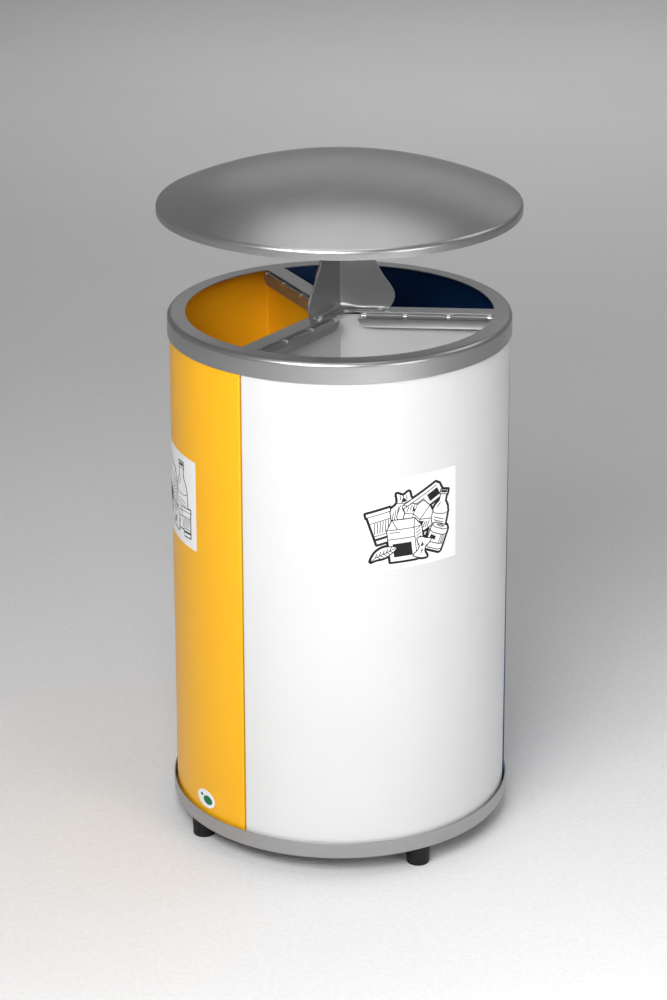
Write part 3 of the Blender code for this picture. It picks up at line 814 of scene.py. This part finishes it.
# What lies on each sticker: the heap's size, the outline's and the lines' widths in mm, and
# from back to front each drawing with its place in mm, turn in degrees and size.
HEAPS = {
    "white": (1.46, 5.8, 1.25, [
        ("bag", -6, 9, 8, 1.1),
        ("newspaper", 12, 22, 26, 1.0),
        ("bottle", 31, 3, -14, 0.95),
        ("cup", -31, 1, 12, 1.0),
        ("paper_ball", 6, 5, 0, 1.15),
        ("can", 27, -20, -24, 0.95),
        ("carton", -8, -14, 6, 1.08),
        ("apple", 11, -26, -15, 0.9),
        ("leaf", -30, -27, 14, 0.85),
    ]),
    "yellow": (1.5, 2.9, 1.0, [
        ("carton", -20, 6, -8, 1.3),
        ("bottle", 20, 5, 3, 1.28),
        ("can", -2, -22, 84, 1.05),
        ("cup", 31, -20, 6, 0.86),
    ]),
    "blue": (1.4, 4.2, 1.2, [
        ("newspaper", 0, 24, 10, 1.25),
        ("sheet", -18, 0, 9, 1.0),
        ("sheet", 14, 2, -8, 1.05),
        ("envelope", -6, -19, -6, 1.15),
        ("paper_ball", 24, -22, 0, 0.95),
    ]),
}
STICKER_TILTS = {"white": 0.8, "yellow": 0.0, "blue": 0.0}  # in degrees


def flat_mesh(name, layers):
    """Flat faces from (polygons, height) layers, in the sticker's plane."""
    shape = bmesh.new()
    for polygons, height in layers:
        for polygon in polygons:
            if len(polygon) in (4, JOINT_STEPS):
                groups = [polygon]
            else:
                flat = [[Vector((x, y, 0)) for x, y in polygon]]
                groups = [[polygon[k] for k in tri] for tri in tessellate_polygon(flat)]
            for group in groups:
                vertices = [shape.verts.new((p[0], p[1], height)) for p in group]
                shape.faces.new(vertices)
    for face in shape.faces:
        face.normal_update()
        if face.normal.z < 0:
            face.normal_flip()
    mesh = bpy.data.meshes.new(name)
    shape.to_mesh(mesh)
    shape.free()
    return mesh


def moved(points, spot, scale):
    """A drawing's points in metres, at its place in a heap."""
    _, x, y, turn, size = spot
    c, s = cos(radians(turn)) * size, sin(radians(turn)) * size
    return [
        ((u * c - v * s + x) * scale * MM, (u * s + v * c + y) * scale * MM) for u, v in points
    ]


def heap_layers(heap):
    """(black layers, white layers) of a heap of drawings, drawn from back to front."""
    scale, bold_width, width, spots = heap
    outlines = []
    for spot in spots:
        outline = DRAWINGS[spot[0]]["outline"]
        if DRAWINGS[spot[0]].get("smooth"):
            outline = smooth_path(outline)
        outlines.append(moved(outline, spot, scale))
    bold = [part for outline in outlines for part in stroke(outline, bold_width * MM, True)]
    black, white = [(bold, 0.0)], []
    for level, (spot, outline) in enumerate(zip(spots, outlines), 1):
        drawing = DRAWINGS[spot[0]]
        white.append(([outline], (2 * level - 1) * LAYER))
        lines = stroke(outline, 1.3 * width * MM, True)
        for line in drawing["lines"]:
            lines += stroke(moved(line, spot, scale), width * MM)
        lines += [moved(area, spot, scale) for area in drawing["dark"]]
        black.append((lines, 2 * level * LAYER))
    return black, white


def make_stickers():
    width, height = STICKER_SIZE
    for colour, tilt in STICKER_TILTS.items():
        node = f"sticker_{colour}"
        low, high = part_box(node)
        middle = (low + high) / 2
        angle = degrees(atan2(middle.y, middle.x))
        corners = ((-1, -1), (1, -1), (1, 1), (-1, 1))
        outline = rounded([(u * width / 2, v * height / 2, STICKER_CORNER) for u, v in corners])
        mesh = plate(node, [outline], STICKER_SHEET, 0, lifted(STICKER_SHEET / 2))
        on_drum(mesh, angle, middle.z, radians(tilt), STICKER_LIFT)
        base = piece(f"film_{colour}", mesh, FILM)
        shown(base, "base", "white_sticker", node)
        black, white = heap_layers(HEAPS[colour])
        for label, layers, material in (("ink", black, INK), ("fill", white, FILM)):
            mesh = flat_mesh(f"{label}_{colour}", layers)
            lift = STICKER_LIFT + STICKER_SHEET + LAYER
            on_drum(mesh, angle, middle.z - HEAP_DROP, radians(tilt), lift)
            printed = piece(f"{label}_{colour}", mesh, material)
            shown(printed, "base", "white_sticker")


def make_badge():
    """A pale oval with a green disc and a small green dot, drawn as flat layers."""
    low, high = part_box("sticker_badge")
    middle = (low + high) / 2
    angle = degrees(atan2(middle.y, middle.x))
    tall = (high.z - low.z) / 2
    wide = BADGE_HALF_WIDTH
    discs = (("rim", 1.0, 0, 0, FILM), ("disc", 0.50, 5, -1, GREEN), ("bar", 0.16, -10, 4, GREEN))
    for level, (label, share, x, y, material) in enumerate(discs):
        oval = [(x * MM + u * wide * share, y * MM + v * tall * share) for u, v in circle(1, 48)]
        sheet = STICKER_SHEET if level == 0 else LAYER
        lift = STICKER_LIFT + (STICKER_SHEET if level else 0)
        mesh = plate(f"badge_{label}", [oval], sheet, 0, lifted(sheet / 2))
        on_drum(mesh, angle, middle.z, 0, lift)
        made = piece(f"badge_{label}", mesh, material)
        shown(made, "base", "white_sticker", *(["sticker_badge"] if level == 0 else []))


# ---------------- head


def mouth(inset):
    """A mouth's outline, grown by inset into the metal round it."""
    return sector(
        BAR_WIDTH / 2 - inset, MOUTH_RADIUS + inset, 2 * MM + inset, CENTRE_FILLET + inset, 90
    )


def make_head_cap():
    """The ring with its skirt and the three bars, with a rolled edge round each mouth."""
    top, low = HEAD_TOP, HEAD_LOW.z
    flat = HEAD_RADIUS - HEAD_EDGE
    bend = (flat, top - HEAD_EDGE)
    rows = arc(bend, HEAD_EDGE, pi / 2, 0, 10)
    rows += rounded(
        [
            (HEAD_RADIUS, low + 6 * MM, 0),
            (HEAD_RADIUS, low, 0.7 * MM),
            (HEAD_RADIUS - HEAD_SHEET, low, 0.7 * MM),
            (HEAD_RADIUS - HEAD_SHEET, low + 6 * MM, 0),
        ],
        closed=False,
    )
    rows += arc(bend, HEAD_EDGE - HEAD_SHEET, 0, pi / 2, 6)
    steps = RING_STEPS
    points, faces = [], []
    for radius, height in rows:
        points += [(x, y, height) for x, y in circle(radius, steps)]
    for i in range(len(rows) - 1):
        faces += band(i * steps, (i + 1) * steps, steps)
    last = (len(rows) - 1) * steps
    over = [[(points[k], k) for k in range(steps)]]
    under = [[(points[last + k], last + k) for k in range(steps)]]

    roll = arc((0, -MOUTH_ROLL), MOUTH_ROLL, pi / 2, pi, 5)
    levels = [(MOUTH_ROLL + x, y) for x, y in roll]
    levels += [(0, -HEAD_SHEET + 0.3 * MM), (0.3 * MM, -HEAD_SHEET)]
    for angle in SECTORS.values():
        loops = [turned_points(mouth(inset), angle) for inset, _ in levels]
        starts = []
        for (_, drop), loop in zip(levels, loops):
            starts.append(len(points))
            points += [(x, y, top + drop) for x, y in loop]
        count = len(loops[0])
        for a, b in zip(starts, starts[1:]):
            faces += band(a, b, count)
        over.append([(points[starts[0] + k], starts[0] + k) for k in range(count)])
        under.append([(points[starts[-1] + k], starts[-1] + k) for k in range(count)])
    for surface in (over, under):
        flat_loops = [[Vector((p[0], p[1], 0)) for p, _ in loop] for loop in surface]
        index = [i for loop in surface for _, i in loop]
        faces += [tuple(index[k] for k in triangle) for triangle in tessellate_polygon(flat_loops)]
    cap = piece("head_cap", from_faces("head_cap", points, faces), SILVER, sharp=40)
    shown(cap, "head", "silver_paint", "head_frame")


def make_bar_folds():
    """The folded edges under the bars, beside each hinge."""
    outer = HINGE_OFFSET - BAR_WIDTH / 2 + 0.3 * MM
    upper = HINGE_DROP - 1.2 * MM
    lower = HINGE_DROP - FOLD_DEPTH
    section = rounded(
        [
            (-outer, upper, 0),
            (-outer, lower, 0.4 * MM),
            (-outer - FOLD_SHEET, lower, 0.4 * MM),
            (-outer - FOLD_SHEET, upper, 0),
        ]
    )
    strip = plate("fold", [section], 2 * FOLD_HALF_LENGTH, 0, UPRIGHT_YZ)
    folds = joined("bar_folds", [(strip, where) for _, where in hinges()])
    shown(piece("bar_folds", folds, SATIN), "head", "silver_paint")


def make_lugs():
    """The hinge lugs that carry the rods, of bare bright steel."""
    arm = HINGE_OFFSET - BAR_WIDTH / 2 + 0.9 * MM
    outline = [(-arm, -1.2 * MM), (0, -LUG_RADIUS)]
    outline += arc((0, 0), LUG_RADIUS, -pi / 2, pi / 2, 16)[1:] + [(-arm, 2.4 * MM)]
    lug = plate("lug", [outline, circle(HINGE_BORE, 20)], LUG_WIDTH, 0.3 * MM, UPRIGHT_YZ)
    lugs = [
        (lug, where @ Matrix.Translation((station, 0, 0)))
        for _, where in hinges()
        for station in LUG_STATIONS
    ]
    shown(piece("hinge_lugs", joined("hinge_lugs", lugs), STEEL), "head", "zinc_plated_steel")


def rod_section():
    """Half of a hinge rod's outline: a thin pin with a rounded head at each end."""
    end = LUG_STATIONS[-1] + LUG_WIDTH / 2 + 0.3 * MM
    head_end = end + ROD_HEAD_LENGTH
    return rounded(
        [
            (0, head_end, 0),
            (ROD_HEAD_RADIUS, head_end, 0.9 * MM),
            (ROD_HEAD_RADIUS, end, 0.2 * MM),
            (ROD_RADIUS, end, 0),
            (ROD_RADIUS, -end, 0),
            (ROD_HEAD_RADIUS, -end, 0.2 * MM),
            (ROD_HEAD_RADIUS, -head_end, 0.9 * MM),
            (0, -head_end, 0),
        ],
        closed=False,
        steps=4,
    )


def flap_rolls(spans):
    """The rolled stretches of a flap's hem, one between each two lugs."""
    hem = arc((0, 0), BARREL_RADIUS, pi / 2, 3 * pi / 2, 20)
    corners = [
        (0, -BARREL_RADIUS, 0),
        (BARREL_RADIUS, -BARREL_RADIUS, 0),
        (BARREL_RADIUS, BARREL_RADIUS, 0.9 * MM),
        (0, BARREL_RADIUS, 0),
    ]
    hem += rounded(corners, closed=False)[1:-1]
    for start, stop in spans:
        along = Matrix.Translation(((start + stop) / 2, 0, 0))
        roll = plate("roll", [hem, circle(HINGE_BORE, 20)], stop - start, 0.15 * MM, UPRIGHT_YZ)
        yield roll, along


def flap_leaf(spans):
    """A flap's hanging sheet, notched at its lugs and flush with the front of its rolls."""
    slot_depth = -LUG_RADIUS - 0.6 * MM
    neck = 0.2 * MM - BARREL_RADIUS
    half = FLAP_HALF_LENGTH
    outline = [(-half, slot_depth, 1 * MM)]
    for start, stop in spans:
        outline += [(start, slot_depth, 0), (start, neck, 0), (stop, neck, 0), (stop, slot_depth, 0)]
    outline += [
        (half, slot_depth, 1 * MM),
        (half, -FLAP_DROP, FLAP_CORNER),
        (-half, -FLAP_DROP, FLAP_CORNER),
    ]
    flush = Matrix.Translation((0, BARREL_RADIUS - FLAP_SHEET / 2, 0)) @ UPRIGHT_XZ
    return plate("leaf", [rounded(outline, steps=14)], FLAP_SHEET, 0.15 * MM, flush)


def make_hinges():
    gap = LUG_WIDTH / 2 + 0.6 * MM
    spans = [(a + gap, b - gap) for a, b in zip(LUG_STATIONS, LUG_STATIONS[1:])]
    section = rod_section()
    rolls = list(flap_rolls(spans))
    leaf = flap_leaf(spans)
    for name, where in hinges():
        rod = piece(f"rod_{name}", turned("rod", section, steps=32), STEEL, where @ ALONG_X)
        shown(rod, "head", "zinc_plated_steel", f"hinge_rod_{name}")
        mesh = joined(f"leaf_{name}", [(leaf, Matrix.Identity(4)), *rolls])
        made = piece(f"leaf_{name}", mesh, SATIN, where)
        shown(made, f"flap_{name}", "silver_paint", f"flap_{name}")


# ---------------- column


def wing_reach(height):
    """How far a wing reaches from the centre, at a height above the bars."""
    rows = []
    for knots in WING_EDGE:
        corners = [Vector((r, z)) * MM for r, z in knots]
        rows += [tuple(p.xy) for p in interpolate_bezier(*corners, 24)]
    below = [row for row in rows if row[1] <= height]
    above = [row for row in rows if row[1] > height]
    if not above:
        return rows[-1][0]
    if not below:
        return rows[0][0]
    (r0, z0), (r1, z1) = below[-1], above[0]
    return r0 + (r1 - r0) * (height - z0) / (z1 - z0)


def sheet_row(back, reach, height):
    """Points across a bent sheet at one height, from one wing's edge to the other's."""
    offset = COLUMN_BACK_GAP + (0 if back else COLUMN_SHEET)
    bend_side = COLUMN_BACK_GAP + COLUMN_SHEET + COLUMN_BEND
    radius = bend_side - offset
    hub = (bend_side / sin(HALF_SECTOR), 0)
    line = HALF_SECTOR + pi / 2
    start = bend_side / tan(HALF_SECTOR)
    row = []
    for sign in (1, -1):
        along = Vector((cos(HALF_SECTOR), sign * sin(HALF_SECTOR)))
        inward = Vector((sin(HALF_SECTOR), -sign * cos(HALF_SECTOR)))
        wing = []
        for i in range(13):
            share = i / 12
            point = along * (start + (reach - start) * share) + inward * offset
            wing.append((point.x, point.y, height))
        if sign == 1:
            row += wing[::-1]
            row += [(x, y, height) for x, y in arc(hub, radius, line, 2 * pi - line, 8)[1:-1]]
        else:
            row += wing
    return row


def make_column():
    base, top = COLUMN_LOW.z + 0.3 * MM, COLUMN_HIGH.z
    heights = [base + (top - base) * i / COLUMN_STEPS for i in range(COLUMN_STEPS + 1)]
    flange_low = COLUMN_LOW.z
    sheet_top = flange_low + COLUMN_SHEET
    for colour, angle in SECTORS.items():
        grids = []
        for back in (True, False):
            grids.append([sheet_row(back, wing_reach(h - HEAD_TOP), h) for h in heights])
        count = len(grids[0][0])
        points = [p for grid in grids for row in grid for p in row]
        plane = len(heights) * count
        faces = []
        for i in range(len(heights) - 1):
            for k in range(count - 1):
                a = i * count + k
                quad = (a, a + 1, a + count + 1, a + count)
                faces.append(quad)
                faces.append(tuple(plane + q for q in reversed(quad)))
            for a in (i * count, i * count + count - 1):
                faces.append((a, a + count, plane + a + count, plane + a))
        for a in (0, (len(heights) - 1) * count):
            faces += [(a + k, a + k + 1, plane + a + k + 1, plane + a + k) for k in range(count - 1)]
        sheet = from_faces("sheet", points, faces)
        made = piece(f"column_{colour}", sheet, SATIN, about_z(angle), bevel=0.35 * MM)
        shown(made, "head", "silver_paint", f"column_sheet_{colour}")
        feet = [
            (foot(sign, flange_low, sheet_top + sign * 0.01 * MM), about_z(60 * sign))
            for sign in (1, -1)
        ]
        mesh = joined(f"column_feet_{colour}", feet)
        made = piece(f"column_feet_{colour}", mesh, SATIN, about_z(angle), sharp=40)
        shown(made, "head", "silver_paint")


def foot(sign, low, high):
    """A foot flange and the fillet up to its wing, along +X and out to the side -sign."""
    start, end = FLANGE_STATIONS
    face = COLUMN_BACK_GAP + COLUMN_SHEET
    whole, over = FILLET_STATIONS
    stations = 40
    loops = []
    for i in range(stations + 1):
        station = start + (end - start) * (1 - (1 - i / stations) ** 2)
        tip = min(1.0, (end - station) / FLANGE_TIP)
        reach = (FLANGE_WIDTH - face) * max(sqrt(1 - (1 - tip) ** 2), 0.02)
        far = min(1.0, max(0.0, (station - whole) / (over - whole)))
        growth = FILLET_GROWTH * (1 - far * far * (3 - 2 * far))
        curl = min(FILLET_RADIUS + growth, reach * 0.8)
        section = [(0.3 * MM, low), (face + reach, low), (face + reach, high)]
        section += arc((face + curl, high + curl), curl, -pi / 2, -pi, 8)
        section += [(0.3 * MM, high + curl)]
        loops.append([(station, -sign * out, z) for out, z in section])
    return loft("foot", loops, close=False)


def make_screws():
    head = rounded(
        [
            (0, SOCKET_FLOOR, 0),
            (SOCKET_RADIUS, SOCKET_FLOOR, 0),
            (SOCKET_RADIUS, 2.15 * MM, 0.1 * MM),
            (2.3 * MM, 2.0 * MM, 1.2 * MM),
            (SCREW_HEAD_RADIUS, 0.7 * MM, 0.5 * MM),
            (SCREW_HEAD_RADIUS, 0, 0.15 * MM),
            (SCREW_RADIUS, 0, 0),
            (SCREW_RADIUS, -SCREW_LENGTH, 0.4 * MM),
            (0, -SCREW_LENGTH, 0),
        ],
        closed=False,
        steps=4,
    )
    for number in range(1, 7):
        node = f"column_screw_{number}"
        low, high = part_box(node)
        middle = (low + high) / 2
        seat = high.z - SCREW_HEAD_HEIGHT
        # each screw stands at a turn of its own
        where = Matrix.Translation((middle.x, middle.y, seat)) @ about_z(17 * number)
        mesh = turned("screw", head, steps=36, hexed=(1, 2, 3, 4, 5))
        screw = piece(f"button_screw_{number}", mesh, STEEL, where)
        shown(screw, "head", "zinc_plated_steel", node)


# ---------------- roof


def dome_points(inset, apex, bend_steps):
    """Half the dome's outline, from its top to the bend at its rim, moved in by inset."""
    radius, rise = ROOF_HIGH.x, ROOF_RISE
    sphere = (radius**2 + rise**2) / (2 * rise) - inset
    centre = apex - sphere
    bend = ROOF_RIM_BEND - inset
    bend_r = radius - ROOF_RIM_BEND
    bend_z = centre + sqrt((sphere - bend) ** 2 - bend_r**2)
    tilt = atan2(bend_r, bend_z - centre)
    steps = 40
    points = [
        (sphere * sin(tilt * i / steps), centre + sphere * cos(tilt * i / steps))
        for i in range(steps)
    ]
    return points + arc((bend_r, bend_z), bend, pi / 2 - tilt, 0, bend_steps)


def make_roof():
    low, high = ROOF_LOW.z, ROOF_HIGH.z
    outside = dome_points(0, high, 10)
    inside = dome_points(ROOF_SHEET, high - ROOF_SHEET, 6)
    edge = rounded(
        [
            (ROOF_HIGH.x, low + 2 * MM, 0),
            (ROOF_HIGH.x, low, 0.6 * MM),
            (ROOF_HIGH.x - ROOF_SHEET, low, 0.6 * MM),
            (ROOF_HIGH.x - ROOF_SHEET, low + 2 * MM, 0),
        ],
        closed=False,
    )
    roof = piece("roof", turned("roof", outside + edge + inside[::-1]), SILVER)
    shown(roof, "head", "silver_paint", "roof_dome")


# ---------------- studio


def make_floor():
    """A pale round floor that turns up into a wall all round, outside every view's camera."""
    look = Nodes("studio_floor")
    cloud = look.ranged(look.noise(1.2, 3.0), 0.0, 1.0)
    base = look.mixed(cloud, rgb(0.83, 0.83, 0.835), rgb(0.80, 0.80, 0.805))
    grain = look.ranged(look.noise(120.0, 5.0, roughness=0.75), 0.0, 0.30, 0.35, 0.65)
    base = look.mixed(grain, base, rgb(0.62, 0.62, 0.63))
    look.set(Base_Color=base, Roughness=0.75, Normal=look.bump(look.noise(150.0, 4.0), 0.4, 0.002))
    corners = [(0, 0, 0), (STAGE_RADIUS, 0, STAGE_BEND), (STAGE_RADIUS, STAGE_HEIGHT, 0)]
    profile = rounded(corners, closed=False, steps=24)[1:]
    steps = STAGE_STEPS
    points = [(x, y, z) for radius, z in profile for x, y in circle(radius, steps)]
    faces = [list(range(steps))]
    for i in range(len(profile) - 1):
        # wound like the floor's own face, so that the shading stays smooth where they meet
        faces += [(b, a, d, c) for a, b, c, d in band(i * steps, (i + 1) * steps, steps)]
    mesh = bpy.data.meshes.new("studio_floor")
    mesh.from_pydata(points, [], faces)
    mesh.shade_smooth()
    mesh.materials.append(look.material)
    linked("studio_floor", mesh)


MIDDLE = (0, 0, 0.5)
# name: place, what it points at, size, watts and spread in degrees
SOFTBOXES = {
    "key": ((-0.62, -2.17, 2.33), MIDDLE, (1.65, 1.1), 57, 180),
    "right_fill": ((1.99, -1.99, 1.20), MIDDLE, (1.1, 1.1), 17, 180),
    "low_fill": ((-0.20, -2.80, 2.00), MIDDLE, (1.4, 0.8), 27, 180),
    "top_front": ((0, -0.50, 3.36), MIDDLE, (1.8, 1.1), 16, 180),
    "top_rear": ((0, 0.99, 3.22), MIDDLE, (1.7, 1.1), 8, 180),
    "rear_right": ((1.93, 0.70, 2.55), MIDDLE, (1.1, 1.1), 7, 180),
    "floor_front": ((0.9, -1.9, 1.7), (0.9, -1.9, 0), (1.2, 0.8), 16, 90),
    "floor_right": ((1.0, -0.1, 1.6), (1.0, -0.1, 0), (0.6, 0.6), 0.8, 70),
    "rear_wide": ((0.5, 4.6, 3.0), (0, 0, 0.9), (4.4, 2.0), 9.5, 180),
    "floor_rear": ((0.3, 5.15, 3.8), (0.3, 5.15, 0), (4.0, 2.0), 36, 120),
    "floor_far": ((0, -5.6, 3.6), (0, -5.6, 0), (5.0, 1.6), 50, 120),
}


def make_lights():
    for name, (where, target, size, watts, spread) in SOFTBOXES.items():
        light = bpy.data.lights.new(name, "AREA")
        light.shape = "RECTANGLE"
        light.size, light.size_y = size
        light.energy = watts
        light.spread = radians(spread)
        made = linked(name, light)
        made.location = where
        facing = Vector(target) - Vector(where)
        made.rotation_euler = facing.to_track_quat("-Z", "Y").to_euler()
    world = bpy.data.worlds.new("studio")
    bpy.context.scene.world = world
    world.use_nodes = True
    sky = world.node_tree.nodes["Background"]
    sky.inputs["Color"].default_value = rgb(0.60, 0.60, 0.61)
    sky.inputs["Strength"].default_value = 0.03


def make_camera():
    lens = bpy.data.cameras.new("camera")
    lens.lens = CAMERA_LENS
    lens.sensor_width = CAMERA_SENSOR
    lens.shift_x, lens.shift_y = CAMERA_SHIFT
    camera = linked("camera", lens)
    camera.location = CAMERA_SPOT
    camera.rotation_euler = (radians(90 - CAMERA_DOWN), 0, radians(CAMERA_ASIDE))
    bpy.context.scene.camera = camera


# ---------------- build


def dress_frame():
    """Gives every CAD node that stays in view its finished material."""
    for row in frame["record"]["subparts"]:
        node = frame["nodes"][row["node"]]
        for place in node.material_slots:
            place.material = SLOTS[row["material_slot"]]


dress_frame()
make_base()
make_containers()
make_stickers()
make_badge()
make_head_cap()
make_bar_folds()
make_lugs()
make_hinges()
make_column()
make_screws()
make_roof()
make_floor()
make_lights()
make_camera()
bpy.context.scene.view_settings.view_transform = "Standard"
bpy.context.view_layer.update()
